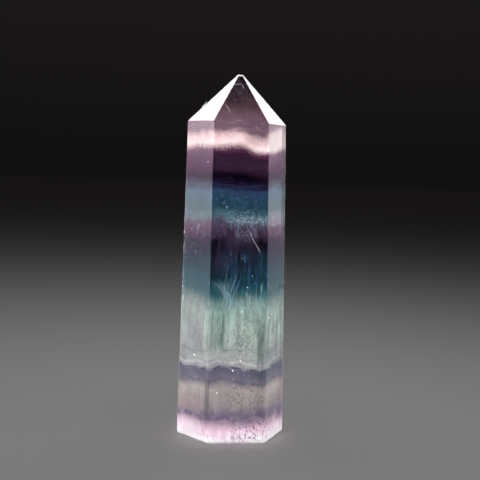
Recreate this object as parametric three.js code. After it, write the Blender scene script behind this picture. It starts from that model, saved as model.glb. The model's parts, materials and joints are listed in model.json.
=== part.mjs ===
// Fluorite point: one piece of banded fluorite, cut as a six-sided tower with a six-facet tip.
// Millimetres, +Z up. The origin is the middle of the flat base, and the widest side faces -Y.
// The stone is cut by hand, so no two sides are quite alike and the tip is off centre.
import * as THREE from "three";
import { ConvexGeometry } from "three/addons/geometries/ConvexGeometry.js";

// Driving dimensions
const HEIGHT = 76;
const APEX = new THREE.Vector3(-1.0, 0.15, 76.5); // where the tip facets would meet, before the tip is blunted
const FOOT_BEVEL = 0.45; // width taken off the base all round, at 45 degrees
const CHIPPED_CORNER = { azimuth: 30, fromCorner: 0.9, height: 2.2 }; // a worn foot corner at the front right

// Each side of the tower: azimuth of its outward normal from -Y towards +X, in degrees, its distance
// from the axis at the base, its inward lean, and the elevation of the tip facet's normal above it.
const SIDES = {
  front: { azimuth: 0, reach: 9.35, lean: 0.75, tipElevation: 39.5 },
  right: { azimuth: 61, reach: 9.25, lean: 1.5, tipElevation: 38.5 },
  backRight: { azimuth: 120.5, reach: 9.3, lean: 0.75, tipElevation: 41 },
  back: { azimuth: 180.5, reach: 9.9, lean: 0.7, tipElevation: 40.5 },
  backLeft: { azimuth: 240.5, reach: 10.3, lean: 0.5, tipElevation: 40 },
  left: { azimuth: 301, reach: 10.8, lean: 0.1, tipElevation: 43.5 },
};

const FLUORITE = new THREE.MeshStandardMaterial({
  color: 0x8fa3b8,
  roughness: 0.05,
  metalness: 0,
  transparent: true,
  opacity: 0.6,
});

const INSIDE_TOLERANCE = 1e-6;

function outwardNormal(azimuth, elevation) {
  const a = THREE.MathUtils.degToRad(azimuth);
  const e = THREE.MathUtils.degToRad(elevation);
  return new THREE.Vector3(
    Math.sin(a) * Math.cos(e),
    -Math.cos(a) * Math.cos(e),
    Math.sin(e),
  );
}

function facet(azimuth, elevation, point) {
  const normal = outwardNormal(azimuth, elevation);
  return new THREE.Plane().setFromNormalAndCoplanarPoint(normal, point);
}

// The plane of a tower side, which leans in a little towards the tip.
function sideFacet({ azimuth, reach, lean }) {
  return facet(azimuth, lean, outwardNormal(azimuth, 0).multiplyScalar(reach));
}

function tipFacet({ azimuth, tipElevation }) {
  return facet(azimuth, tipElevation, APEX);
}

function footBevel({ azimuth, reach }) {
  const inset = outwardNormal(azimuth, 0).multiplyScalar(reach - FOOT_BEVEL);
  return facet(azimuth, -45, inset);
}

// Cuts the foot corner between two sides, from fromCorner inside it on the base up to height on its edge.
function cornerChip(sideA, sideB, base, { azimuth, fromCorner, height }) {
  const corner = meetingPoint(sideFacet(sideA), sideFacet(sideB), base);
  const elevation = -THREE.MathUtils.radToDeg(Math.atan2(fromCorner, height));
  const raised = corner.clone().setZ(height);
  return facet(azimuth, elevation, raised);
}

// The one point on three planes, or null where two of them are parallel.
function meetingPoint(p, q, r) {
  const qr = new THREE.Vector3().crossVectors(q.normal, r.normal);
  const rp = new THREE.Vector3().crossVectors(r.normal, p.normal);
  const pq = new THREE.Vector3().crossVectors(p.normal, q.normal);
  const span = p.normal.dot(qr);
  if (Math.abs(span) < INSIDE_TOLERANCE) return null;
  return qr
    .multiplyScalar(-p.constant)
    .addScaledVector(rp, -q.constant)
    .addScaledVector(pq, -r.constant)
    .divideScalar(span);
}

// Corners of the convex solid that lies behind every plane.
function cornersBehind(planes) {
  const corners = [];
  for (let i = 0; i < planes.length; i++)
    for (let j = i + 1; j < planes.length; j++)
      for (let k = j + 1; k < planes.length; k++) {
        const point = meetingPoint(planes[i], planes[j], planes[k]);
        if (point && planes.every((p) => p.distanceToPoint(point) < INSIDE_TOLERANCE))
          corners.push(point);
      }
  return corners;
}

function cutStone() {
  const sides = Object.values(SIDES);
  const base = new THREE.Plane(new THREE.Vector3(0, 0, -1), 0);
  const bluntTip = new THREE.Plane(new THREE.Vector3(0, 0, 1), -HEIGHT);
  const chip = cornerChip(SIDES.front, SIDES.right, base, CHIPPED_CORNER);
  const planes = [
    ...sides.map(sideFacet),
    ...sides.map(tipFacet),
    ...sides.map(footBevel),
    base,
    bluntTip,
    chip,
  ];
  return new ConvexGeometry(cornersBehind(planes));
}

const stone = new THREE.Mesh(cutStone(), FLUORITE);
stone.name = "fluorite_point";

// The facets are set out from the axis of the cut, and the origin goes to the middle of the outline.
const middle = new THREE.Box3().setFromObject(stone).getCenter(new THREE.Vector3());
stone.position.set(-middle.x, -middle.y, 0);

const point = new THREE.Group();
point.add(stone);

export default point;
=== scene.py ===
"""Looks of the fluorite point: a polished, colour-zoned crystal tower on a grey floor in a dark room.

Everything is in metres in the part's own frame: the middle of the flat base is the origin, +Z runs up
the tower and the widest side faces -Y. Heights and sizes of the stone's features are in millimetres,
as they are on the real stone, and MM turns them into metres. The colours on the stone are as they look
on a screen, and linear() turns them into what shaders take.
"""

import json
import math

import bmesh
import bpy
import numpy as np
from mathutils import Matrix, Vector, noise

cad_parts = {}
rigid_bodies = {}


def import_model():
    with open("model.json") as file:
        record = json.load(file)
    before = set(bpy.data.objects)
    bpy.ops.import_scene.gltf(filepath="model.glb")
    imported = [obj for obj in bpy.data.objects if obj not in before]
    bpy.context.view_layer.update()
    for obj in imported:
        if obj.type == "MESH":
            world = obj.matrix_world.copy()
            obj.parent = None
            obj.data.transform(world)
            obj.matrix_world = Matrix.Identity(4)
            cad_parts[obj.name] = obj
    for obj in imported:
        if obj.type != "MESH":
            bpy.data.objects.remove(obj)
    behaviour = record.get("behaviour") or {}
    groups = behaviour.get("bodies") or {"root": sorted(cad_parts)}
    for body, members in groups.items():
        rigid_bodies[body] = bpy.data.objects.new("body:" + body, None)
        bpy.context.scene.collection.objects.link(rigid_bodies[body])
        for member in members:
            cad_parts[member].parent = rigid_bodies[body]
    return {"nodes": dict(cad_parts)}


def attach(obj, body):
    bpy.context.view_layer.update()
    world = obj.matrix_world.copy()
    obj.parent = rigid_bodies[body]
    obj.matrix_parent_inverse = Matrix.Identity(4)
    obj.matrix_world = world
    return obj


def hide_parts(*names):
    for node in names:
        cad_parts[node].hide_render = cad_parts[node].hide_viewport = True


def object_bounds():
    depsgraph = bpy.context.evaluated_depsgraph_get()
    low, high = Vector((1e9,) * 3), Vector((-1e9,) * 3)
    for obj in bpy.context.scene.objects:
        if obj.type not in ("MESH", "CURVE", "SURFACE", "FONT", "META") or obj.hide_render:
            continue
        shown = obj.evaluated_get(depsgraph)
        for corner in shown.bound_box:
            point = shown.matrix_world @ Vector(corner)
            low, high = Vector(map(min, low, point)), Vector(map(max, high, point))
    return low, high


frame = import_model()
cad_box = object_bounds()

MM = 0.001
SEED = 7

# The stone's edges, rounded by polishing
EDGE_ROUND = 0.20 * MM
EDGE_SEGMENTS = 3
EDGE_PROFILE = 0.5  # Blender's bevel profile for a round edge
SAME_POINT = 0.001 * MM
SAME_PLANE = math.radians(0.5)
LARGEST_FACES = 100  # Blender's weight that leaves the normals to the largest faces

# Colour zones from the base up: height of the zone's middle in millimetres, and its colour
ZONES = [
    (0.0, (0.99, 0.96, 0.98)),
    (2.6, (0.93, 0.81, 0.88)),
    (4.6, (0.62, 0.53, 0.60)),
    (6.2, (0.45, 0.42, 0.49)),
    (8.2, (0.57, 0.54, 0.55)),
    (11.4, (0.64, 0.61, 0.60)),
    (12.9, (0.46, 0.44, 0.49)),
    (15.3, (0.37, 0.36, 0.45)),
    (16.2, (0.61, 0.61, 0.62)),
    (19.0, (0.60, 0.63, 0.62)),
    (27.5, (0.57, 0.66, 0.63)),
    (31.0, (0.16, 0.34, 0.38)),
    (33.5, (0.08, 0.22, 0.28)),
    (37.0, (0.05, 0.12, 0.17)),
    (41.0, (0.07, 0.05, 0.11)),
    (44.0, (0.27, 0.21, 0.30)),
    (45.5, (0.32, 0.30, 0.38)),
    (46.7, (0.27, 0.38, 0.42)),
    (48.3, (0.15, 0.26, 0.32)),
    (50.0, (0.14, 0.26, 0.34)),
    (51.7, (0.19, 0.26, 0.38)),
    (52.9, (0.10, 0.09, 0.20)),
    (54.9, (0.06, 0.025, 0.08)),
    (57.5, (0.23, 0.135, 0.23)),
    (59.0, (0.18, 0.10, 0.19)),
    (60.5, (0.36, 0.18, 0.30)),
    (61.8, (0.97, 0.87, 0.87)),
    (63.3, (0.85, 0.73, 0.74)),
    (64.9, (0.49, 0.39, 0.45)),
    (69.0, (0.325, 0.235, 0.265)),
    (72.4, (0.18, 0.13, 0.18)),
    (76.0, (0.07, 0.04, 0.08)),
]
LIGHTEST = (0.97, 0.97, 0.97, 1)  # no zone gets lighter than this, as a shader takes it

# The layers grew slightly wavy. Each wave is its height in millimetres, how fast it turns along
# x, y and z in radians per millimetre, and where it starts.
LAYER_WAVES = [
    (0.38, (0.50, 0.16, -0.137), 3.05),
    (0.20, (-0.30, 0.41, 0.24), 2.5),
    (0.14, (0.95, 0.55, 0.21), 4.0),
    (0.08, (1.90, -1.30, 0.30), 1.0),
]
# The pale layer under the tip steps down across the stone and comes back up: the places in x where
# it goes down and where it comes back, and the heights where this starts and is over
STEP = dict(drop=0.8, down=(-1.0, 2.5), back=(5.5, 9.5), low=(53.0, 58.0), high=(64.5, 69.0))
LAYER_REACH = 3  # millimetres, more than the waves and the step together move a layer
# The fine unevenness of every layer: how tall it is in millimetres, and how many bumps a millimetre has
ROUGH_EDGES = [(1.3, 0.45), (0.5, 1.7)]
ROUGH_STRETCH = (1, 1, 0.6)

# The noises in the stone stay about the middle, and seldom leave the range
NOISE_MIDDLE = 0.5
NOISE_RANGE = (0.3, 0.7)
# How far apart in a noise the features of a kind lie, so that no two of them are alike
STREAKS_APART = 23.0
SEAMS_APART = 17.0
FLECKS_APART = 31.0
PATCHES_APART = 13.0
SPRAYS_APART = 19.0

# Thin seams along the layers: height and half thickness in millimetres, how far the seam strays up and
# down, its colour, and how strongly it shows
SEAMS = [
    (5.4, 0.75, 1.6, (0.36, 0.32, 0.45), 0.65),
    (13.1, 0.45, 1.8, (0.29, 0.28, 0.36), 0.45),
    (15.7, 0.30, 1.0, (0.24, 0.22, 0.31), 0.70),
    (16.9, 0.45, 1.5, (0.80, 0.79, 0.80), 0.55),
    (18.2, 0.22, 1.2, (0.66, 0.66, 0.66), 0.45),
    (19.3, 0.25, 1.4, (0.38, 0.40, 0.42), 0.50),
    (46.0, 0.15, 0.5, (0.45, 0.42, 0.48), 0.40),
    (52.5, 0.20, 0.5, (0.11, 0.14, 0.26), 0.75),
    (53.0, 0.14, 0.5, (0.22, 0.21, 0.35), 0.75),
    (53.7, 0.30, 0.6, (0.15, 0.10, 0.26), 0.75),
    (57.6, 0.25, 1.2, (0.23, 0.11, 0.20), 0.45),
    (64.6, 0.50, 1.6, (0.36, 0.27, 0.33), 0.40),
    (65.7, 0.25, 1.4, (0.60, 0.50, 0.58), 0.55),
    (66.7, 0.25, 1.2, (0.40, 0.31, 0.37), 0.45),
    (70.4, 0.24, 1.3, (0.10, 0.06, 0.10), 0.50),
]
SEAM_CORE = 0.3  # the share of a seam's half thickness where it shows in full
SEAM_SWAY = dict(turns=0.22, roughness=0.5)
SEAM_PATCHES = dict(least=0.0, most=1.0, spread=(0.36, 0.56), turns=0.5, detail=2, roughness=0.5)

# Growth streaks run up the stone where it is fibrous. Each kind has its bumps per millimetre across
# and along the stone. It pulls the zones' edges up and down by drag millimetres, and darkens and
# lightens the zones by up to depth.
STREAKS = [
    dict(span=(17.5, 43.0), edge=4.0, turns=(0.45, 0.040), drag=6.0, depth=0.52),
    dict(span=(17.5, 40.0), edge=4.0, turns=(1.50, 0.160), drag=2.5, depth=0.28),
    dict(span=(38.0, 47.5), edge=3.0, turns=(0.90, 0.350), drag=3.0, depth=0.45),
    dict(span=(46.5, 53.5), edge=1.5, turns=(0.40, 0.260), drag=0.8, depth=0.40),
    dict(span=(-1.0, 13.5), edge=3.0, turns=(1.10, 0.110), drag=1.0, depth=0.22),
]
STREAK_GAIN = 4  # turns the swing of a noise into one from about -1 to 1
STREAK_BEND = 0.25  # how much the streaks waver

# Flecks in the zones: the heights they fill, bumps per millimetre across and along, how much of the
# zone they take, their colour and how strongly they show
FLECKS = [
    dict(span=(-1.0, 5.0), turns=(2.6, 1.0), share=0.26, colour=(0.42, 0.33, 0.42), strength=0.45),
    dict(span=(6.4, 12.6), turns=(1.6, 1.2), share=0.30, colour=(0.68, 0.64, 0.61), strength=0.25),
    dict(span=(15.8, 18.8), turns=(0.7, 2.0), share=0.40, colour=(0.74, 0.73, 0.74), strength=0.40),
    dict(span=(17.0, 30.0), turns=(2.2, 0.8), share=0.26, colour=(0.68, 0.73, 0.69), strength=0.30),
    dict(span=(19.0, 31.0), turns=(1.5, 0.5), share=0.26, colour=(0.30, 0.40, 0.38), strength=0.35),
    dict(span=(45.4, 51.5), turns=(2.4, 1.8), share=0.14, colour=(0.40, 0.54, 0.60), strength=0.30),
    dict(span=(45.2, 47.8), turns=(3.0, 3.0), share=0.30, colour=(0.46, 0.56, 0.62), strength=0.35),
    dict(span=(60.0, 64.2), turns=(1.8, 2.4), share=0.30, colour=(1.00, 0.96, 0.95), strength=0.35),
    dict(span=(69.5, 74.5), turns=(2.0, 1.8), share=0.20, colour=(0.38, 0.34, 0.42), strength=0.50),
]
FLECK_EDGE = 0.7  # millimetres over which flecks thin out at the top and bottom of their heights
FLECK_PATCHES = dict(turns=0.35, detail=1, roughness=0.5)
PATCHINESS = 0.35  # how much thicker and thinner the flecks are from patch to patch
# Hardly any of a noise is above its top, and nearly all of it is above the top less its depth
NOISE_TOP = 0.66
NOISE_DEPTH = 0.30
GRAIN_EDGE = (0.03, 0.06)  # how far the edge of a grain reaches out and in, in the same measure

# Sprays of threads, and patches of grains or of soft stains, that show through the widest side, and one
# painted shade line. Each starts at a root at x and z and runs for its length in a direction given as
# degrees from straight up towards +X, half its width to either side, and may open by so much a millimetre.
# The rest is as for the flecks. A new one goes at the end, because its number decides its noise.
THREADS, GRAINS, STAINS = "threads", "grains", "stains"
SPRAYS = [
    dict(kind=THREADS, root=(-6.4, 34.2), towards=140, length=9.5, half=1.3, open=0.02,
         turns=(2.1, 0.05), colour=(0.46, 0.62, 0.66), strength=0.34),
    dict(kind=THREADS, root=(4.5, 26.5), towards=-1, length=7.5, half=0.45,
         turns=(1.8, 0.04), colour=(0.45, 0.68, 0.68), strength=0.80),
    dict(kind=THREADS, root=(2.6, 22.5), towards=-2, length=10.0, half=1.6,
         turns=(1.6, 0.06), colour=(0.66, 0.76, 0.76), strength=0.50),
    dict(kind=THREADS, root=(-4.0, 20.0), towards=0, length=11.0, half=3.0,
         turns=(0.9, 0.12), colour=(0.70, 0.76, 0.74), strength=0.35),
    dict(kind=STAINS, root=(-2.2, 34.4), towards=0, length=11.5, half=4.6,
         turns=(1.30, 0.16), share=0.60, colour=(0.22, 0.17, 0.27), strength=0.75),
    dict(kind=STAINS, root=(0.6, 30.0), towards=0, length=11.0, half=5.0,
         turns=(1.40, 0.13), share=0.60, colour=(0.16, 0.29, 0.39), strength=0.85),
    dict(kind=THREADS, root=(0.4, 47.2), towards=172, length=5.5, half=2.2, open=0.10,
         turns=(1.0, 0.45), colour=(0.54, 0.45, 0.58), strength=0.50),
    dict(kind=THREADS, root=(0.8, 44.2), towards=2, length=4.6, half=5.0,
         turns=(1.1, 1.3), colour=(0.60, 0.68, 0.75), strength=0.60),
    dict(kind=GRAINS, root=(0.9, 15.3), towards=0, length=12.5, half=2.9,
         turns=(3.2, 2.2), share=0.50, colour=(0.76, 0.80, 0.75), strength=0.40),
    dict(kind=GRAINS, root=(1.4, 15.6), towards=0, length=10.0, half=2.4,
         turns=(3.0, 2.1), share=0.26, colour=(0.38, 0.46, 0.42), strength=0.35),
    dict(kind=GRAINS, root=(4.5, 12.0), towards=0, length=13.0, half=0.75,
         turns=(0.5, 0.1), share=1.05, colour=(0.26, 0.33, 0.33), strength=0.50),
    dict(kind=GRAINS, root=(-4.2, 19.0), towards=2, length=8.5, half=0.9,
         turns=(0.8, 0.15), share=0.90, colour=(0.24, 0.37, 0.34), strength=0.60),
    dict(kind=GRAINS, root=(1.8, 6.4), towards=0, length=6.6, half=4.2,
         turns=(2.0, 1.7), share=0.36, colour=(0.72, 0.70, 0.64), strength=0.45),
    dict(kind=GRAINS, root=(2.2, 6.2), towards=0, length=7.0, half=4.2,
         turns=(1.9, 1.5), share=0.34, colour=(0.30, 0.28, 0.27), strength=0.50),
    dict(kind=GRAINS, root=(3.4, -0.6), towards=0, length=6.4, half=4.6,
         turns=(2.4, 1.3), share=0.30, colour=(0.26, 0.18, 0.30), strength=0.70),
    # Painted shade: a thin dark line along the left edge of the widest side, standing in for refraction
    # there
    dict(kind=GRAINS, root=(-6.3, 3.6), towards=0, length=11.0, half=0.45,
         turns=(0.4, 0.2), share=1.20, colour=(0.24, 0.22, 0.27), strength=0.50),
    dict(kind=GRAINS, root=(8.6, 44.4), towards=0, length=4.0, half=3.4,
         turns=(0.6, 1.2), share=0.90, colour=(0.66, 0.62, 0.68), strength=0.40),
    dict(kind=GRAINS, root=(-9.8, -2.0), towards=0, length=7.0, half=2.8,
         turns=(0.3, 0.3), share=1.40, colour=(1.00, 0.95, 0.98), strength=0.30),
    dict(kind=GRAINS, root=(9.0, -2.0), towards=0, length=5.8, half=3.2,
         turns=(0.3, 0.3), share=1.40, colour=(1.00, 0.95, 0.98), strength=0.40),
    dict(kind=GRAINS, root=(8.9, 60.1), towards=-20, length=5.6, half=3.2,
         turns=(0.5, 0.4), share=1.40, colour=(0.99, 0.90, 0.90), strength=0.80),
    dict(kind=GRAINS, root=(1.2, 63.6), towards=0, length=2.8, half=3.8,
         turns=(0.5, 1.2), share=0.60, colour=(0.40, 0.29, 0.37), strength=0.55),
    dict(kind=GRAINS, root=(8.2, 12.4), towards=0, length=7.6, half=3.4,
         turns=(0.5, 0.6), share=1.30, colour=(0.33, 0.37, 0.40), strength=0.32),
    dict(kind=GRAINS, root=(-9.6, 5.4), towards=0, length=3.8, half=2.4,
         turns=(0.5, 0.6), share=1.30, colour=(0.63, 0.56, 0.56), strength=0.60),
    dict(kind=GRAINS, root=(-9.6, 16.5), towards=0, length=15.5, half=3.2,
         turns=(0.6, 0.15), share=1.20, colour=(0.62, 0.57, 0.61), strength=0.35),
]
SPRAY_DEPTH = (-1.5, 2.5)  # the sprays fade out between these places in y
SPRAY_TURNS_DEEP = 0.3  # bumps per millimetre into the stone
SPRAY_ENDS = 0.25  # the share of a spray's length over which it fades in and out
SPRAY_SIDES = (0.6, 1.2)  # the shares of half its width between which it fades out to either side
STAIN_SOFTNESS = 3.0  # how much wider the edge of a stain is than that of a grain
THREAD_EDGE = (0.006, 0.024)  # how far the noise is from its middle on a thread and beside it
THREAD_ROUGHNESS = 0.55

# The facets beside the widest ones are painted lighter: a painted sheen that stands in for the light they
# scatter and reflect from the side. It lies over the zones: its colour by height, and how much stronger it
# is on the +X side.
PAINTED_SIDE_SHEEN = [
    (0.0, (0.00, 0.00, 0.00)),
    (6.0, (0.18, 0.16, 0.18)),
    (12.0, (0.26, 0.23, 0.22)),
    (15.0, (0.16, 0.17, 0.20)),
    (24.0, (0.12, 0.05, 0.08)),
    (30.0, (0.22, 0.20, 0.20)),
    (34.0, (0.22, 0.28, 0.30)),
    (37.0, (0.19, 0.24, 0.29)),
    (41.5, (0.20, 0.15, 0.23)),
    (44.5, (0.34, 0.26, 0.31)),
    (48.0, (0.39, 0.41, 0.41)),
    (51.5, (0.38, 0.42, 0.45)),
    (54.5, (0.29, 0.23, 0.29)),
    (57.0, (0.33, 0.24, 0.32)),
    (60.5, (0.44, 0.36, 0.42)),
    (66.0, (0.48, 0.42, 0.45)),
    (71.0, (0.36, 0.29, 0.33)),
    (75.0, (0.22, 0.17, 0.21)),
]
RIGHT_SIDE_SHEEN = 1.35
# The x of a facet's normal where the painted sheen turns from the left one's to the right one's, and how
# far from 0 it is where the sheen begins and where it is full
SIDE_SHEEN_TURN = (-0.1, 0.1)
SIDE_SHEEN_SIDEWAYS = (0.3, 0.6)

# Painted shade: a darker strip along the far edge of the facet to the right of the widest one, standing
# in for the dark that shows along that edge. Its x is where it starts at the foot, in millimetres. It moves
# in by its lean for each millimetre up, fades out between the two places in y, and is stronger above the
# two heights than below them.
PAINTED_EDGE_SHADE = dict(
    x=10.35,
    lean=0.0245,
    edge=0.12,
    depth=(0.0, 2.0),
    colour=(0.30, 0.29, 0.30),
    heights=(26.0, 44.0),
    strength=(0.18, 0.50),
)

# Rubbed edges are most worn below the foot's heights and above the tip's, and the very tip is worn all over
# above its own. Their whitening is partly real wear and partly a painted highlight where light catches them.
WEAR_HIGHLIGHT_FOOT = (0.35, 0.7)
WEAR_HIGHLIGHT_TIP = (74.9, 75.2)
WEAR_HIGHLIGHT_POINT = (75.55, 75.75)
WEAR_HIGHLIGHT_ELSEWHERE = 0.35
WEAR_HIGHLIGHT_COLOUR = (0.93, 0.90, 0.92)
WORN_ROUGHNESS = 0.35
RUBBED = dict(least=0.4, most=1.0, spread=(0.40, 0.60), turns=1.3, detail=4, roughness=0.7)

# How light the zones are and how rough the polish is from place to place, and the relief of the
# polish in bump heights
CLOUDINESS = dict(least=0.85, most=1.12, turns=0.3, roughness=0.5)
POLISH = dict(least=0.02, most=0.08, turns=0.7, detail=5, roughness=0.7)
UNEVENNESS = dict(turns=0.35, detail=2, roughness=0.5)
SCRATCHES = dict(roughness=0.7, distortion=0.6)
SCRATCH_STRETCH = (0.5, 0.5, 9.0)
SCRATCH_HEIGHT = 0.06
PITS = dict(turns=6.0, detail=2, roughness=0.5)
PIT_HEIGHT = 2.0
BUMP_HEIGHT = 0.02 * MM
BUMP_STRENGTH = 0.5

# Fluorite lets light through, and its milkiness scatters some of it inside
FLUORITE_IOR = 1.434
TRANSMISSION = 0.6
SCATTER_REACH = 2.0 * MM
ABSORPTION_COLOUR = (0.82, 0.78, 0.88, 1)
ABSORPTION_DENSITY = 30.0

# Milky clouds of tiny grains: the layer heights they fill, in millimetres, grains per cubic millimetre,
# the size of a grain, and the size of the clumps across and along the stone
CLOUDS = {
    "base_milk": dict(span=(-1.0, 4.8), density=40, grain=0.16, clump=(1.2, 2.0)),
    "grey_grains": dict(span=(6.6, 12.6), density=9, grain=0.20, clump=(0.8, 0.8)),
    "lower_veil": dict(span=(15.9, 18.8), density=20, grain=0.18, clump=(2.0, 0.4)),
    "mint_fibres": dict(span=(18.5, 32.5), density=7, grain=0.18, clump=(0.5, 5.0)),
    "sparkle_veil": dict(span=(45.4, 47.8), density=16, grain=0.16, clump=(0.7, 0.5)),
    "pale_milk": dict(span=(60.9, 63.9), density=70, grain=0.15, clump=(1.8, 0.8)),
    "tip_veil": dict(span=(63.9, 66.2), density=4, grain=0.15, clump=(2.5, 0.25)),
}
CLOUD_EDGE = 0.4  # millimetres over which a cloud thins out at its top and bottom
CLUMP_CONTRAST = 1.2
GRAIN_MARGIN = 0.15  # millimetres that a grain keeps inside the facets
GRAIN_VARIETY = 0.35  # how much the sizes of grains differ
GRAIN_FLATNESS = 0.6

# Fans of fine needles. Each needle starts within reach of a root at x and z on the widest side, and
# runs in a direction given as degrees from straight up towards +X, give or take the fan's angle.
FANS = [
    dict(kind="shallow", root=(-5.3, 33.8), reach=(0.9, 0.6), towards=139, fan=7, count=22,
         length=(3.0, 9.0)),
    dict(kind="shallow", root=(-2.9, 28.2), reach=(0.9, 1.2), towards=10, fan=9, count=18,
         length=(3.5, 8.5)),
    dict(kind="shallow", root=(4.4, 27.0), reach=(0.4, 1.2), towards=0, fan=3, count=8,
         length=(3.0, 6.5)),
    dict(kind="shallow", root=(1.4, 27.5), reach=(2.6, 2.0), towards=4, fan=8, count=20,
         length=(2.0, 6.0)),
    dict(kind="shallow", root=(1.0, 46.0), reach=(4.4, 0.8), towards=90, fan=90, count=240,
         length=(0.3, 1.0)),
    dict(kind="shallow", root=(0.6, 44.0), reach=(2.4, 1.2), towards=165, fan=40, count=40,
         length=(0.5, 2.0)),
    dict(kind="shallow", root=(-8.2, 44.0), reach=(1.4, 1.4), towards=180, fan=14, count=8,
         length=(1.0, 3.0)),
    dict(kind="deep", root=(-5.8, 33.5), reach=(1.2, 0.5), towards=142, fan=9, count=26,
         length=(3.0, 7.5)),
    dict(kind="deep", root=(0.6, 26.5), reach=(3.2, 2.0), towards=4, fan=10, count=50,
         length=(2.5, 8.0)),
    dict(kind="deep", root=(-2.0, 23.0), reach=(7.0, 5.0), towards=0, fan=8, count=110,
         length=(1.2, 4.0)),
    dict(kind="deep", root=(3.0, 20.5), reach=(1.4, 4.5), towards=0, fan=30, count=110,
         length=(0.6, 1.6)),
    dict(kind="deep", root=(0.5, 47.4), reach=(3.5, 0.9), towards=20, fan=80, count=70,
         length=(0.5, 1.4)),
]
# How far behind the facets each kind lies, or stands out where that is below 0, and how wide its
# needles are, in millimetres
NEEDLES = {
    "shallow": dict(depth=(-0.006, 0.004), width=(0.016, 0.034)),
    "deep": dict(depth=(0.25, 1.6), width=(0.08, 0.20)),
}
NEEDLE_POINTS = (0, 0.3, 0.65, 1)  # shares of a needle's length
NEEDLE_BOW = 0.06  # how far a needle may bow to either side, as a share of its length
NEEDLE_STANDOUT = 0.01  # millimetres that a needle may stand out of the stone
FACING_FRONT = -0.1  # a facet faces -Y where the y of its normal is below this

# Single white threads as points at x and z on the widest side, in millimetres
WISPS = {
    "wisp": [(0.9, 44.6), (1.5, 43.6), (2.2, 42.2), (2.7, 41.4), (3.3, 40.4), (3.8, 39.5)],
    "tip_arc": [(-4.3, 69.6), (-3.8, 69.2), (-3.4, 68.5), (-3.0, 67.2)],
    "tip_hair": [(-1.7, 73.6), (-1.2, 73.9), (-0.3, 74.0), (0.0, 73.4), (0.3, 72.6)],
}
WISP_WIDTH = 0.028

# A stray hair that stands off the tip: its direction from the axis in degrees from -Y towards +X, its
# width, and its points as height and how far out of the stone, in millimetres
HAIR = dict(
    around=276.6,
    width=0.05,
    path=[(68.75, 0.0), (68.95, 0.40), (69.4, 0.46), (69.8, 0.54), (70.05, 0.70), (70.3, 0.90)],
)

# Tiny white flakes at the surface, painted glints: their whiteness stands in for glints of light. x and z
# on the front of the stone, and size, in millimetres
GLINTS = [
    (2.3, 34.8, 0.24),
    (1.3, 32.5, 0.24),
    (-3.5, 48.8, 0.24),
    (8.0, 53.4, 0.26),
    (6.4, 46.8, 0.22),
    (6.8, 45.1, 0.26),
    (8.2, 40.7, 0.22),
    (6.5, 38.8, 0.20),
    (10.0, 38.3, 0.20),
    (-7.4, 57.7, 0.22),
    (-8.7, 17.8, 0.60),
    (-1.2, 15.3, 0.32),
    (-4.3, 10.7, 0.28),
    (0.3, 27.5, 0.28),
    (6.2, 26.1, 0.32),
    (0.4, 17.3, 0.26),
    (4.6, 60.5, 0.75),
    (-9.8, 43.9, 0.20),
    (-9.5, 41.0, 0.20),
    (-9.0, 39.2, 0.24),
]

# Specks all round the stone: how many, their heights, the range of their sizes, and their directions
# from the stone's axis in degrees from -Y towards +X
SPECKS = {
    "dust": dict(count=420, span=(3.0, 66.0), size=(0.07, 0.16), around=(0.0, 360.0)),
    "rubbed_corner": dict(count=90, span=(28.0, 47.0), size=(0.10, 0.40), around=(275.0, 279.0)),
}
SPECK_POWER = 3  # makes most specks nearly as small as the smallest
FLAKE_CORNERS = 5
FLAKE_NEAREST = 0.35  # the least reach of a flake's corner, as a share of the most
FLAKE_HALF = 0.2  # half of a flake's thickness, as a share of its size

# What lies in the stone: the darkest and lightest of its shades, as shaders take them
MILK = [(0.80, 0.80, 0.82), (0.95, 0.94, 0.95)]
SILK = [(0.06, 0.12, 0.14), (0.22, 0.31, 0.35)]
SHADES = dict(turns=2.5, detail=2, roughness=0.5)
GRAIN_ROUGHNESS = 0.35

# Lights on the stone alone. Each stands in a direction from its aim, at a distance and of a size in
# metres. Its radiance is its brightness as seen, where white is 1, and its spread is in degrees.
TIP = (-0.002, -0.002, 0.069)
MIDDLE = (0, 0, 0.045)
WIDE = 179
GLEAMS = {
    "left_rim": ((-0.39, 0.68, 0.62), TIP, 0.40, (0.12, 0.12), 9.5, 60),
    "right_rim": ((0.48, 0.81, 0.33), TIP, 0.40, (0.12, 0.12), 3.8, 60),
    "top_rim": ((0.05, 0.70, 0.72), TIP, 0.40, (0.06, 0.06), 12, 40),
    "left_side": ((-0.92, 0.37, 0.0), (-0.009, -0.004, 0.045), 0.14, (0.06, 0.10), 0.6, WIDE),
    "right_side": ((0.73, 0.67, 0.0), (0.008, -0.004, 0.045), 0.14, (0.06, 0.10), 0.2, WIDE),
    "high_front": ((0.08, -0.535, 0.84), TIP, 0.40, (0.14, 0.10), 7, 60),
    "high_left": ((-0.575, -0.671, 0.467), TIP, 0.40, (0.10, 0.10), 6, 60),
    "high_right": ((0.570, -0.660, 0.488), TIP, 0.40, (0.10, 0.10), 4, 60),
}
# Soft boxes that light the stone's inside, and are too bright to show in its facets
FILLS = {
    "front_fill": ((-0.40, -0.92, 0.0), MIDDLE, 0.60, (0.40, 0.30), 44, WIDE),
    "left_fill": ((-1.0, 0.0, 0.0), MIDDLE, 0.60, (0.30, 0.30), 5, WIDE),
    "right_fill": ((0.99, 0.09, 0.0), MIDDLE, 0.60, (0.30, 0.30), 52, WIDE),
    "back_fill": ((-0.57, 0.82, 0.0), MIDDLE, 0.60, (0.40, 0.30), 42, WIDE),
}
# The one light that falls on the floor too
OVERHEAD = ((0.0, 0.0, 1.0), (0, 0, 0), 0.26, (0.24, 0.24), 2.0, WIDE)
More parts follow.
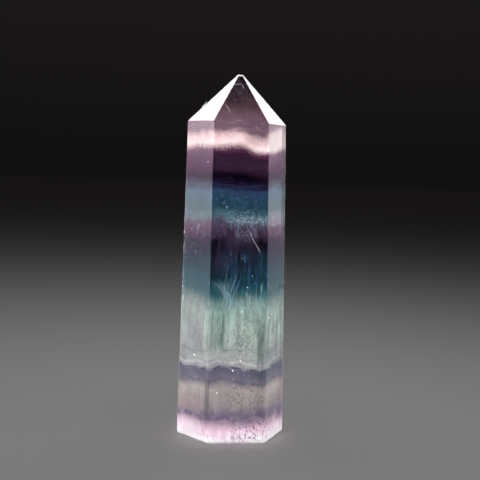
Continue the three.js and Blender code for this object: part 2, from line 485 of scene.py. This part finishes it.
# Strip lights that gleam in the sides of the stone: their directions in degrees from -Y towards +X,
# and then the rest as above
STRIPS = (32, 61, 77, 211, 226, 287)
STRIP = (MIDDLE, 0.60, (0.02, 0.26), 4, WIDE)

# The floor in metres, and the room behind the stone from the floor's far edge up, as shaders take them
FLOOR_RADIUS = 2.0
FLOOR_SIDES = 64
FLOOR_COLOUR = (0.50, 0.50, 0.50, 1)
FLOOR_ROUGHNESS = 0.7
BACKDROP = [(0.0, (0.0062, 0.0055, 0.0055)), (1.0, (0.014, 0.012, 0.012))]
BACKDROP_TOP = 0.25  # the height at which the room is lightest, as the sine of its elevation

# The camera stands where the photograph was taken from, a little to the left of the widest side
CAMERA_DISTANCE = 0.218
CAMERA_HEIGHT = 0.0594
CAMERA_AZIMUTH = math.radians(8.42)
CAMERA_PAN = math.radians(0.22)
CAMERA_PITCH = math.radians(4.72)
CAMERA_ROLL = math.radians(1.97)
CAMERA_LENS = 77.5
CAMERA_SENSOR = 36
CAMERA_SEES = (0.01, 10)


def linear(colour):
    """A colour as it looks on a screen, in sRGB, turned into the linear values that shaders take."""
    return tuple(c / 12.92 if c <= 0.04045 else ((c + 0.055) / 1.055) ** 2.4 for c in colour)


def opaque(colour):
    """The same for a socket that takes four values."""
    return (*linear(colour), 1)


def stops(table, top):
    """A table of heights and colours as the stops of a ramp that ends at top."""
    return [(z / top, linear(colour)) for z, colour in table]


class Shading:
    """Adds shader nodes to one material or world and links them."""

    MIX_INPUTS = (0, 6, 7)  # the factor and the two colours of a mix node
    MIX_OUTPUT = 2

    def __init__(self, owner):
        owner.use_nodes = True
        self.tree = owner.node_tree
        self.tree.nodes.clear()

    def node(self, kind, *inputs, **settings):
        """A node of that kind, with its inputs in order: a socket, a value, or None to leave one alone."""
        made = self.tree.nodes.new(kind)
        for name, value in settings.items():
            setattr(made, name, value)
        for socket, value in zip(made.inputs, inputs):
            self.feed(socket, value)
        return made

    def feed(self, socket, value):
        if isinstance(value, bpy.types.NodeSocket):
            self.tree.links.new(value, socket)
        elif value is not None:
            socket.default_value = value

    def fill(self, made, values):
        """Feeds a node's inputs by name."""
        for name, value in values.items():
            self.feed(made.inputs[name], value)

    def output(self, surface, volume=None, kind="ShaderNodeOutputMaterial"):
        self.fill(self.node(kind), {"Surface": surface, "Volume": volume})

    def math(self, operation, *inputs):
        return self.node("ShaderNodeMath", *inputs, operation=operation).outputs[0]

    def dot(self, vector, direction):
        return self.node("ShaderNodeVectorMath", vector, direction, operation="DOT_PRODUCT").outputs["Value"]

    def scaled(self, vector, factors):
        return self.node("ShaderNodeVectorMath", vector, factors, operation="MULTIPLY").outputs[0]

    def moved(self, vector, offset):
        return self.node("ShaderNodeVectorMath", vector, offset, operation="ADD").outputs[0]

    def strengthened(self, vector, factor):
        made = self.node("ShaderNodeVectorMath", vector, operation="SCALE")
        self.feed(made.inputs["Scale"], factor)
        return made.outputs[0]

    def parts(self, vector):
        return self.node("ShaderNodeSeparateXYZ", vector).outputs

    def coordinate(self, name):
        return self.node("ShaderNodeTexCoord").outputs[name]

    def place(self):
        """Where a point of the stone lies, in millimetres."""
        return self.scaled(self.coordinate("Object"), (1 / MM,) * 3)

    def noise(self, vector, turns=1.0, detail=3, roughness=0.6, distortion=0.0):
        """A noise from 0 to 1 with so many bumps a unit of vector."""
        made = self.node("ShaderNodeTexNoise")
        self.fill(made, {
            "Vector": vector,
            "Scale": turns,
            "Detail": detail,
            "Roughness": roughness,
            "Distortion": distortion,
        })
        return made.outputs[0]

    def swing(self, vector, **settings):
        """A noise about 0."""
        return self.math("SUBTRACT", self.noise(vector, **settings), NOISE_MIDDLE)

    def varied(self, vector, least, most, spread=NOISE_RANGE, **settings):
        """A noise as values from least to most."""
        return self.span(self.noise(vector, **settings), *spread, least, most)

    def ramp(self, fac, colour_stops):
        made = self.node("ShaderNodeValToRGB", fac)
        elements = made.color_ramp.elements
        while len(elements) > 1:
            elements.remove(elements[-1])
        for i, (position, colour) in enumerate(colour_stops):
            element = elements[0] if i == 0 else elements.new(position)
            element.position = position
            element.color = (*colour, 1)
        return made.outputs[0]

    def span(self, value, low, high, to_low=0.0, to_high=1.0, smooth=True):
        """value from low..high as to_low..to_high, clamped."""
        kind = "SMOOTHSTEP" if smooth else "LINEAR"
        made = self.node("ShaderNodeMapRange", value, low, high, to_low, to_high, interpolation_type=kind)
        return made.outputs[0]

    def within(self, value, low, high, edge):
        """1 where value is between low and high, falling to 0 over edge inside them."""
        rise = self.span(value, low, low + edge)
        fall = self.span(value, high - edge, high, 1.0, 0.0)
        return self.math("MULTIPLY", rise, fall)

    def mix(self, fac, a, b, blend="MIX"):
        made = self.node("ShaderNodeMix", data_type="RGBA", blend_type=blend)
        made.clamp_factor = True
        for index, value in zip(self.MIX_INPUTS, (fac, a, b)):
            self.feed(made.inputs[index], value)
        return made.outputs[self.MIX_OUTPUT]


def layer_heights(points):
    """Height in millimetres along the stone's growth of points in millimetres, as the material has it."""
    x, z = points[:, 0], points[:, 2]
    height = z.copy()
    for size, turn, start in LAYER_WAVES:
        height += size * np.sin(points @ np.array(turn) + start)
    down, back, low, high = (
        np.clip((along - STEP[part][0]) / (STEP[part][1] - STEP[part][0]), 0, 1)
        for along, part in ((x, "down"), (x, "back"), (z, "low"), (z, "high"))
    )
    return height + STEP["drop"] * down * (1 - back) * low * (1 - high)


def layer_height(s, place):
    """The same height as a socket, with the fine unevenness of each layer's edge."""
    x, _, z = s.parts(place)
    height = z
    for size, turn, start in LAYER_WAVES:
        wave = s.math("SINE", s.math("ADD", s.dot(place, turn), start))
        height = s.math("MULTIPLY_ADD", wave, size, height)
    down = s.span(x, *STEP["down"], 0.0, STEP["drop"], smooth=False)
    back = s.span(x, *STEP["back"], 1.0, 0.0, smooth=False)
    low = s.span(z, *STEP["low"], smooth=False)
    high = s.span(z, *STEP["high"], 1.0, 0.0, smooth=False)
    step = s.math("MULTIPLY", s.math("MULTIPLY", down, back), s.math("MULTIPLY", low, high))
    height = s.math("ADD", height, step)
    for tall, turns in ROUGH_EDGES:
        uneven = s.swing(s.scaled(place, ROUGH_STRETCH), turns=turns)
        height = s.math("MULTIPLY_ADD", uneven, tall, height)
    return height


def streaked(s, place, height):
    """The height pulled about by the streaks, and how light each streak is, around 1."""
    pulled, light = height, 1.0
    for number, zone in enumerate(STREAKS):
        across, along = zone["turns"]
        own_place = s.moved(s.scaled(place, (across, across, along)), (0, STREAKS_APART * number, 0))
        here = s.swing(own_place, distortion=STREAK_BEND)
        here = s.math("MULTIPLY", here, s.within(height, *zone["span"], zone["edge"]))
        pulled = s.math("MULTIPLY_ADD", here, zone["drag"], pulled)
        light = s.math("MULTIPLY_ADD", here, STREAK_GAIN * zone["depth"], light)
    return pulled, light


def seamed(s, colour, place, height):
    """The zones with the thin seams over them."""
    for number, (at, half, sway, seam_colour, strength) in enumerate(SEAMS):
        own_place = s.moved(place, (0, 0, SEAMS_APART * number))
        swing = s.swing(own_place, **SEAM_SWAY)
        stray = s.math("MULTIPLY_ADD", swing, sway, s.math("SUBTRACT", height, at))
        line = s.span(s.math("ABSOLUTE", stray), SEAM_CORE * half, half, strength, 0.0)
        patch = s.varied(own_place, **SEAM_PATCHES)
        colour = s.mix(s.math("MULTIPLY", line, patch), colour, opaque(seam_colour))
    return colour


def grain_mask(s, grain, share, strength, softness=1.0):
    """strength on the bumps of a noise that take up about that share of it, and 0 between them."""
    least = NOISE_TOP - NOISE_DEPTH * share
    out, inwards = (edge * softness for edge in GRAIN_EDGE)
    return s.span(grain, least - out, least + inwards, 0.0, strength)


def flecked(s, colour, place, height):
    """The zones with patches of flecks over them."""
    for number, fleck in enumerate(FLECKS):
        across, along = fleck["turns"]
        own_place = s.moved(s.scaled(place, (across, across, along)), (FLECKS_APART * number, 0, 0))
        grain = s.noise(own_place)
        patch = s.swing(s.moved(place, (0, 0, PATCHES_APART * number)), **FLECK_PATCHES)
        grain = s.math("MULTIPLY_ADD", patch, PATCHINESS, grain)
        shown = grain_mask(s, grain, fleck["share"], fleck["strength"])
        shown = s.math("MULTIPLY", shown, s.within(height, *fleck["span"], FLECK_EDGE))
        colour = s.mix(shown, colour, opaque(fleck["colour"]))
    return colour


def spray_mask(s, number, spray, place, depth):
    """How strongly a spray shows at each place."""
    x, z = spray["root"]
    turn = math.radians(spray["towards"])
    from_root = s.moved(place, (-x, 0, -z))
    along = s.dot(from_root, (math.sin(turn), 0, math.cos(turn)))
    across = s.dot(from_root, (math.cos(turn), 0, -math.sin(turn)))
    across = s.math("DIVIDE", across, s.math("MULTIPLY_ADD", along, spray.get("open", 0.0), 1.0))
    deep = s.math("MULTIPLY_ADD", depth, SPRAY_TURNS_DEEP, SPRAYS_APART * number)
    turns_across, turns_along = spray["turns"]
    own_place = s.scaled(
        s.node("ShaderNodeCombineXYZ", across, deep, along).outputs[0],
        (turns_across, 1.0, turns_along),
    )
    if spray["kind"] == THREADS:
        wander = s.swing(own_place, roughness=THREAD_ROUGHNESS)
        shown = s.span(s.math("ABSOLUTE", wander), *THREAD_EDGE, spray["strength"], 0.0)
    else:
        softness = STAIN_SOFTNESS if spray["kind"] == STAINS else 1.0
        shown = grain_mask(s, s.noise(own_place), spray["share"], spray["strength"], softness)
    length = spray["length"]
    shown = s.math("MULTIPLY", shown, s.within(along, 0.0, length, SPRAY_ENDS * length))
    near, far = (share * spray["half"] for share in SPRAY_SIDES)
    return s.math("MULTIPLY", shown, s.span(s.math("ABSOLUTE", across), near, far, 1.0, 0.0))


def sprayed(s, colour, place):
    """The sprays over the zones, on the stone's front half."""
    plain = colour
    depth = s.parts(place)[1]
    for number, spray in enumerate(SPRAYS):
        colour = s.mix(spray_mask(s, number, spray, place, depth), colour, opaque(spray["colour"]))
    return s.mix(s.span(depth, *SPRAY_DEPTH), colour, plain)


def with_painted_side_sheen(s, colour, height):
    """The zones under the painted sheen of the facets that face sideways, painted lighter by the way they
    face.
    """
    facing = s.parts(s.coordinate("Normal"))[0]
    top = PAINTED_SIDE_SHEEN[-1][0]
    side_sheen = s.ramp(s.math("DIVIDE", height, top), stops(PAINTED_SIDE_SHEEN, top))
    side_sheen = s.strengthened(side_sheen, s.span(facing, *SIDE_SHEEN_TURN, 1.0, RIGHT_SIDE_SHEEN))
    sideways = s.span(s.math("ABSOLUTE", facing), *SIDE_SHEEN_SIDEWAYS)
    return s.mix(sideways, colour, side_sheen, blend="SCREEN")


def with_painted_edge_shade(s, colour, place):
    """The zones with the painted shade strip along the right facet's far edge over them."""
    beyond = s.dot(place, (1, 0, PAINTED_EDGE_SHADE["lean"]))
    start, edge = PAINTED_EDGE_SHADE["x"], PAINTED_EDGE_SHADE["edge"]
    _, depth, height = s.parts(place)
    strength = s.span(height, *PAINTED_EDGE_SHADE["heights"], *PAINTED_EDGE_SHADE["strength"])
    shown = s.math("MULTIPLY", s.span(beyond, start - edge, start + edge), strength)
    shown = s.math("MULTIPLY", shown, s.span(depth, *PAINTED_EDGE_SHADE["depth"], 1.0, 0.0))
    return s.mix(shown, colour, opaque(PAINTED_EDGE_SHADE["colour"]))


def wear_and_highlight(s, place):
    """How rubbed the surface is, from 0 to 1: the edges that polished_stone marked, and the very tip. Its
    whitening is partly wear and partly a painted highlight.
    """
    height = s.parts(place)[2]
    foot = s.span(height, *WEAR_HIGHLIGHT_FOOT, 1.0, WEAR_HIGHLIGHT_ELSEWHERE)
    tip = s.span(height, *WEAR_HIGHLIGHT_TIP, WEAR_HIGHLIGHT_ELSEWHERE, 1.0)
    rubbed = s.varied(place, **RUBBED)
    marked = s.node("ShaderNodeAttribute", attribute_name="worn_and_highlit").outputs["Fac"]
    edges = s.math("MULTIPLY", marked, s.math("MULTIPLY", rubbed, s.math("MAXIMUM", foot, tip)))
    return s.math("MAXIMUM", edges, s.span(height, *WEAR_HIGHLIGHT_POINT))


def polish_bump(s, place, worn_and_highlit):
    """A hand-polished face: barely uneven, with fine scratches across it and rougher worn edges."""
    uneven = s.noise(place, **UNEVENNESS)
    scratches = s.noise(s.scaled(place, SCRATCH_STRETCH), **SCRATCHES)
    pits = s.math("MULTIPLY", s.noise(place, **PITS), worn_and_highlit)
    relief = s.math("MULTIPLY_ADD", pits, PIT_HEIGHT, uneven)
    relief = s.math("MULTIPLY_ADD", scratches, SCRATCH_HEIGHT, relief)
    bump = s.node("ShaderNodeBump")
    s.fill(bump, {"Strength": BUMP_STRENGTH, "Distance": BUMP_HEIGHT, "Height": relief})
    return bump.outputs[0]


def fluorite_material(height_of_stone):
    material = bpy.data.materials.new("banded_fluorite")
    s = Shading(material)
    place = s.place()
    height = layer_height(s, place)
    pulled, light = streaked(s, place, height)
    colour = s.ramp(s.math("DIVIDE", pulled, height_of_stone), stops(ZONES, height_of_stone))
    light = s.math("MULTIPLY", light, s.varied(place, **CLOUDINESS))
    colour = s.mix(1.0, s.strengthened(colour, light), LIGHTEST, blend="DARKEN")
    colour = seamed(s, colour, place, height)
    colour = flecked(s, colour, place, height)
    colour = sprayed(s, colour, place)
    # Painted sheen on the facets that face sideways
    colour = with_painted_side_sheen(s, colour, height)
    # Painted shade strip along the far edge of the right facet
    colour = with_painted_edge_shade(s, colour, place)
    # Painted highlight: the rubbed edges are whitened, partly as real wear
    worn_and_highlit = wear_and_highlight(s, place)
    colour = s.mix(worn_and_highlit, colour, opaque(WEAR_HIGHLIGHT_COLOUR))
    polish = s.varied(place, **POLISH)

    surface = s.node("ShaderNodeBsdfPrincipled")
    s.fill(surface, {
        "Base Color": colour,
        "Transmission Weight": TRANSMISSION,
        "Roughness": s.math("MULTIPLY_ADD", worn_and_highlit, WORN_ROUGHNESS, polish),
        "Normal": polish_bump(s, place, worn_and_highlit),
        "IOR": FLUORITE_IOR,
        "Subsurface Weight": 1.0,
        "Subsurface Radius": (1.0, 1.0, 1.0),
        "Subsurface Scale": SCATTER_REACH,
    })
    volume = s.node("ShaderNodeVolumeAbsorption", ABSORPTION_COLOUR, ABSORPTION_DENSITY)
    s.output(surface.outputs[0], volume.outputs[0])
    return material


def inclusion_material(name, shades):
    """What scatters light in the stone, uneven from grain to grain between two shades."""
    material = bpy.data.materials.new(name)
    s = Shading(material)
    shade = s.noise(s.place(), **SHADES)
    surface = s.node("ShaderNodeBsdfPrincipled")
    s.fill(surface, {"Base Color": s.ramp(shade, zip(NOISE_RANGE, shades)), "Roughness": GRAIN_ROUGHNESS})
    s.output(surface.outputs[0])
    return material


def add_object(name, mesh, material):
    made = bpy.data.objects.new(name, mesh)
    bpy.context.scene.collection.objects.link(made)
    made.data.materials.append(material)
    return made


def whole_facets(node):
    """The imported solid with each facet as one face."""
    bm = bmesh.new()
    bm.from_mesh(node.data)
    bmesh.ops.remove_doubles(bm, verts=bm.verts, dist=SAME_POINT)
    bmesh.ops.dissolve_limit(bm, angle_limit=SAME_PLANE, verts=bm.verts, edges=bm.edges)
    bm.normal_update()
    return bm


def facet_planes(bm):
    """The facets' outward normals, and how far each facet lies from the origin, in millimetres."""
    normals = np.array([f.normal for f in bm.faces])
    points = np.array([f.verts[0].co for f in bm.faces]) / MM
    return normals, (normals * points).sum(1)


def polished_stone(bm, material):
    """The stone with its edges rounded by polishing."""
    # The rounded edges are marked for whitening that is partly wear and partly a painted highlight
    worn_and_highlit = bm.faces.layers.float.new("worn_and_highlit")
    rounded = bmesh.ops.bevel(
        bm,
        geom=bm.edges[:],
        offset=EDGE_ROUND,
        offset_type="OFFSET",
        segments=EDGE_SEGMENTS,
        profile=EDGE_PROFILE,
        affect="EDGES",
        clamp_overlap=True,
    )
    for face in rounded["faces"]:
        face[worn_and_highlit] = 1.0
    for face in bm.faces:
        face.smooth = True
    mesh = bpy.data.meshes.new("fluorite_body")
    bm.to_mesh(mesh)
    bm.free()
    stone = add_object("fluorite_body", mesh, material)
    hard = stone.modifiers.new("facet_normals", "WEIGHTED_NORMAL")
    hard.weight = LARGEST_FACES
    hard.keep_sharp = True
    return stone


def inside(points, planes, margin):
    """Which points lie at least margin behind every facet."""
    normals, distances = planes
    return ((points @ normals.T) < distances - margin).all(1)


def behind_front(x, z, planes, depth=0.0):
    """The point at that x and z that lies depth millimetres behind the facets that face -Y."""
    normals, distances = planes
    facing = normals[:, 1] < FACING_FRONT
    n, d = normals[facing], distances[facing]
    y = ((d - depth - n[:, 0] * x - n[:, 2] * z) / n[:, 1]).max()
    return np.array([x, y, z])


def level(around):
    """The level direction that many radians from -Y towards +X."""
    return np.array([math.sin(around), -math.cos(around), 0])


def surface_point(around, z, planes):
    """The point of the surface at that height, in the level direction around from the axis."""
    normals, distances = planes
    start = np.array([0, 0, z])
    along = level(around)
    closing = normals @ along
    ahead = closing > 0
    reach = ((distances - normals @ start)[ahead] / closing[ahead]).min()
    return start + reach * along


def inclusion(name, points, faces, material):
    """One mesh of closed pieces in the stone or on it. points are in millimetres."""
    mesh = bpy.data.meshes.new(name)
    mesh.from_pydata((np.array(points) * MM).tolist(), [], faces)
    made = add_object(name, mesh, material)
    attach(made, "root")
    return made


def joined(parts):
    """Several (points, faces) as one."""
    points, faces = [], []
    for more, sides in parts:
        faces += [tuple(i + len(points) for i in side) for side in sides]
        points += list(more)
    return points, faces


def clumps(points, size):
    """From 0 to 1, how thick a cloud is at each point. size is (across, along) in millimetres."""
    scaled = points / (size[0], size[0], size[1])
    value = np.array([noise.noise(Vector(p)) for p in scaled])
    return np.clip(0.5 + CLUMP_CONTRAST * value, 0, 1)


def grain_points(planes, box, cloud, rng):
    """Places of a cloud's grains in millimetres, closer together in its clumps."""
    bottom, top = cloud["span"]
    low, high = (np.array(corner) / MM for corner in box)
    low[2], high[2] = max(bottom - LAYER_REACH, 0), top + LAYER_REACH
    count = int(cloud["density"] * np.prod(high - low))
    points = rng.uniform(low, high, (count, 3))
    points = points[inside(points, planes, GRAIN_MARGIN)]
    height = layer_heights(points)
    thickness = np.clip(np.minimum(height - bottom, top - height) / CLOUD_EDGE, 0, 1)
    points, thickness = points[thickness > 0], thickness[thickness > 0]
    keep = rng.uniform(0, 1, len(points)) < thickness * clumps(points, cloud["clump"])
    return points[keep]


def grains(points, size, rng):
    """Closed four-sided grains of about that size, in millimetres, each turned its own way."""
    sizes = size * rng.lognormal(0, GRAIN_VARIETY, (len(points), 1, 1))
    corners = rng.normal(0, 1, (len(points), 4, 3))
    corners /= np.linalg.norm(corners, axis=2, keepdims=True)
    corners[:, :, 2] *= GRAIN_FLATNESS
    places = points[:, None] + corners * sizes / 2
    sides = np.array([(0, 1, 2), (0, 3, 1), (1, 3, 2), (2, 3, 0)])
    faces = (sides[None] + 4 * np.arange(len(points))[:, None, None]).reshape(-1, 3)
    return places.reshape(-1, 3), faces.tolist()


def strand(path, width, sides=4):
    """Points and faces of a closed thread along path, pointed at both ends."""
    path = np.array(path)
    turns = 2 * math.pi * np.arange(sides) / sides
    points, faces = [path[0]], []
    for before, here, after in zip(path, path[1:], path[2:]):
        along = (after - before) / np.linalg.norm(after - before)
        right = np.cross(along, (0, 1, 0))
        right /= np.linalg.norm(right)
        up = np.cross(right, along)
        points += [here + width / 2 * (math.cos(t) * right + math.sin(t) * up) for t in turns]
    points.append(path[-1])
    rings = len(path) - 2
    for i in range(sides):
        j = (i + 1) % sides
        faces.append((0, 1 + j, 1 + i))
        for ring in range(rings - 1):
            a = 1 + ring * sides
            faces.append((a + i, a + j, a + sides + j, a + sides + i))
        last = 1 + (rings - 1) * sides
        faces.append((last + i, last + j, len(points) - 1))
    return points, faces


def fan_needles(fan, planes, rng):
    """Slightly bowed needles of one fan, those that stay inside the stone."""
    kind = NEEDLES[fan["kind"]]
    needles = []
    for _ in range(fan["count"]):
        x, z = (r + spread * rng.uniform(-1, 1) for r, spread in zip(fan["root"], fan["reach"]))
        turn = math.radians(fan["towards"] + fan["fan"] * rng.uniform(-1, 1))
        length = rng.uniform(*fan["length"])
        depth, far_depth = rng.uniform(*kind["depth"], 2)
        bow = length * rng.uniform(-NEEDLE_BOW, NEEDLE_BOW)
        path = []
        for t in NEEDLE_POINTS:
            along, across = length * t, bow * math.sin(math.pi * t)
            path.append(behind_front(
                x + math.sin(turn) * along + math.cos(turn) * across,
                z + math.cos(turn) * along - math.sin(turn) * across,
                planes,
                depth + (far_depth - depth) * t,
            ))
        width = rng.uniform(*kind["width"])
        if inside(np.array(path), planes, -NEEDLE_STANDOUT).all():
            needles.append(strand(path, width, sides=3))
    return needles


def stray_hair(planes):
    """Points and faces of the hair that stands off the tip."""
    around = math.radians(HAIR["around"])
    path = [surface_point(around, z, planes) + gap * level(around) for z, gap in HAIR["path"]]
    return strand(path, HAIR["width"])


def flake(centre, size, planes, rng):
    """A thin closed flake that lies in the facet there, with corners at uneven reaches."""
    normals, distances = planes
    outward = normals[np.argmin(distances - normals @ centre)]
    right = np.cross((0, 0, 1), outward)
    right /= np.linalg.norm(right)
    up = np.cross(outward, right)
    turns = 2 * math.pi * (np.arange(FLAKE_CORNERS) + rng.uniform(0, 1)) / FLAKE_CORNERS
    reach = size / 2 * rng.uniform(FLAKE_NEAREST, 1, FLAKE_CORNERS)
    rim = [centre + r * (math.cos(t) * right + math.sin(t) * up) for r, t in zip(reach, turns)]
    top, bottom = (centre + side * FLAKE_HALF * size * outward for side in (1, -1))
    edges = [(i, (i + 1) % FLAKE_CORNERS) for i in range(FLAKE_CORNERS)]
    faces = [(FLAKE_CORNERS, i, j) for i, j in edges] + [(FLAKE_CORNERS + 1, j, i) for i, j in edges]
    return [*rim, top, bottom], faces


def specks(kind, planes, rng):
    """Flakes strewn over the surface, most of them small."""
    places = [
        surface_point(math.radians(rng.uniform(*kind["around"])), rng.uniform(*kind["span"]), planes)
        for _ in range(kind["count"])
    ]
    small, large = kind["size"]
    return [
        flake(place, small + (large - small) * rng.uniform(0, 1) ** SPECK_POWER, planes, rng)
        for place in places
    ]


def area_light(name, receivers, direction, aim, distance, size, radiance, spread, gloss=True):
    """A soft box that shines on the receivers, or on everything where that is None."""
    light = bpy.data.lights.new(name, "AREA")
    light.shape = "RECTANGLE"
    light.size, light.size_y = size
    light.spread = math.radians(spread)
    half = light.spread / 2
    straight_on = math.tan(half) / (math.tan(half) - half)  # how much a narrow spread gathers the power
    light.energy = radiance * math.pi * size[0] * size[1] / straight_on
    made = bpy.data.objects.new(name, light)
    bpy.context.scene.collection.objects.link(made)
    away = Vector(direction).normalized()
    made.location = Vector(aim) + away * distance
    made.rotation_euler = away.to_track_quat("Z", "Y").to_euler()
    made.visible_camera = False
    made.visible_transmission = False
    made.visible_glossy = gloss
    made.light_linking.receiver_collection = receivers


def light_stone(pieces):
    """All the lights. Only the overhead one falls on the floor too."""
    for name, light in GLEAMS.items():
        area_light(name, pieces, *light)
    for name, light in FILLS.items():
        area_light(name, pieces, *light, gloss=False)
    area_light("overhead", None, *OVERHEAD, gloss=False)
    for azimuth in STRIPS:
        area_light(f"strip_{azimuth}", pieces, level(math.radians(azimuth)), *STRIP)


def stone_collection():
    """Every mesh that is there before the floor is made."""
    pieces = bpy.data.collections.new("stone_pieces")
    for piece in bpy.context.scene.collection.objects:
        if piece.type == "MESH":
            pieces.objects.link(piece)
    return pieces


def studio_floor():
    mesh = bpy.data.meshes.new("floor")
    bm = bmesh.new()
    bmesh.ops.create_circle(bm, cap_ends=True, segments=FLOOR_SIDES, radius=FLOOR_RADIUS)
    bm.to_mesh(mesh)
    bm.free()
    material = bpy.data.materials.new("pale_floor")
    s = Shading(material)
    surface = s.node("ShaderNodeBsdfPrincipled")
    s.fill(surface, {"Base Color": FLOOR_COLOUR, "Roughness": FLOOR_ROUGHNESS})
    s.output(surface.outputs[0])
    add_object("floor", mesh, material)


def dark_world():
    """A dark room, a little lighter above, that meets the floor's far edge in the same shade."""
    world = bpy.data.worlds.new("dark_room")
    bpy.context.scene.world = world
    s = Shading(world)
    up = s.parts(s.coordinate("Generated"))[2]
    shade = s.ramp(s.span(up, 0.0, BACKDROP_TOP, smooth=False), BACKDROP)
    s.output(s.node("ShaderNodeBackground", shade).outputs[0], kind="ShaderNodeOutputWorld")


def photo_camera():
    camera = bpy.data.cameras.new("camera")
    camera.lens = CAMERA_LENS
    camera.sensor_width = CAMERA_SENSOR
    camera.clip_start, camera.clip_end = CAMERA_SEES
    made = bpy.data.objects.new("camera", camera)
    bpy.context.scene.collection.objects.link(made)
    made.location = (
        -math.sin(CAMERA_AZIMUTH) * CAMERA_DISTANCE,
        -math.cos(CAMERA_AZIMUTH) * CAMERA_DISTANCE,
        CAMERA_HEIGHT,
    )
    heading = Matrix.Rotation(-(CAMERA_AZIMUTH + CAMERA_PAN), 4, "Z")
    tilt = Matrix.Rotation(math.pi / 2 - CAMERA_PITCH, 4, "X")
    roll = Matrix.Rotation(CAMERA_ROLL, 4, "Z")
    made.rotation_euler = (heading @ tilt @ roll).to_euler()
    bpy.context.scene.camera = made


# The stone itself
height_mm = cad_box[1].z / MM
facets = whole_facets(frame["nodes"]["fluorite_point"])
planes = facet_planes(facets)
stone = polished_stone(facets, fluorite_material(height_mm))
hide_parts("fluorite_point")
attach(stone, "root")

# What lies in the stone and on it. The random draws run on from piece to piece, so their order stays.
rng = np.random.default_rng(SEED)
milk = inclusion_material("milky_grain", MILK)
silk = inclusion_material("silky_needle", SILK)
for name, cloud in CLOUDS.items():
    inclusion(name, *grains(grain_points(planes, cad_box, cloud, rng), cloud["grain"], rng), milk)
for kind, material in (("shallow", silk), ("deep", milk)):
    needles = [n for fan in FANS if fan["kind"] == kind for n in fan_needles(fan, planes, rng)]
    inclusion(f"{kind}_needles", *joined(needles), material)
for name, path in WISPS.items():
    inclusion(name, *strand([behind_front(x, z, planes) for x, z in path], WISP_WIDTH), milk)
inclusion("stray_hair", *stray_hair(planes), milk)
# White flakes at the surface as painted glints
glints = [flake(behind_front(x, z, planes), size, planes, rng) for x, z, size in GLINTS]
inclusion("glints", *joined(glints), milk)
for name, kind in SPECKS.items():
    inclusion(name, *joined(specks(kind, planes, rng)), milk)

# The studio
stone_pieces = stone_collection()
studio_floor()
dark_world()
light_stone(stone_pieces)
photo_camera()
bpy.context.scene.view_settings.view_transform = "Standard"
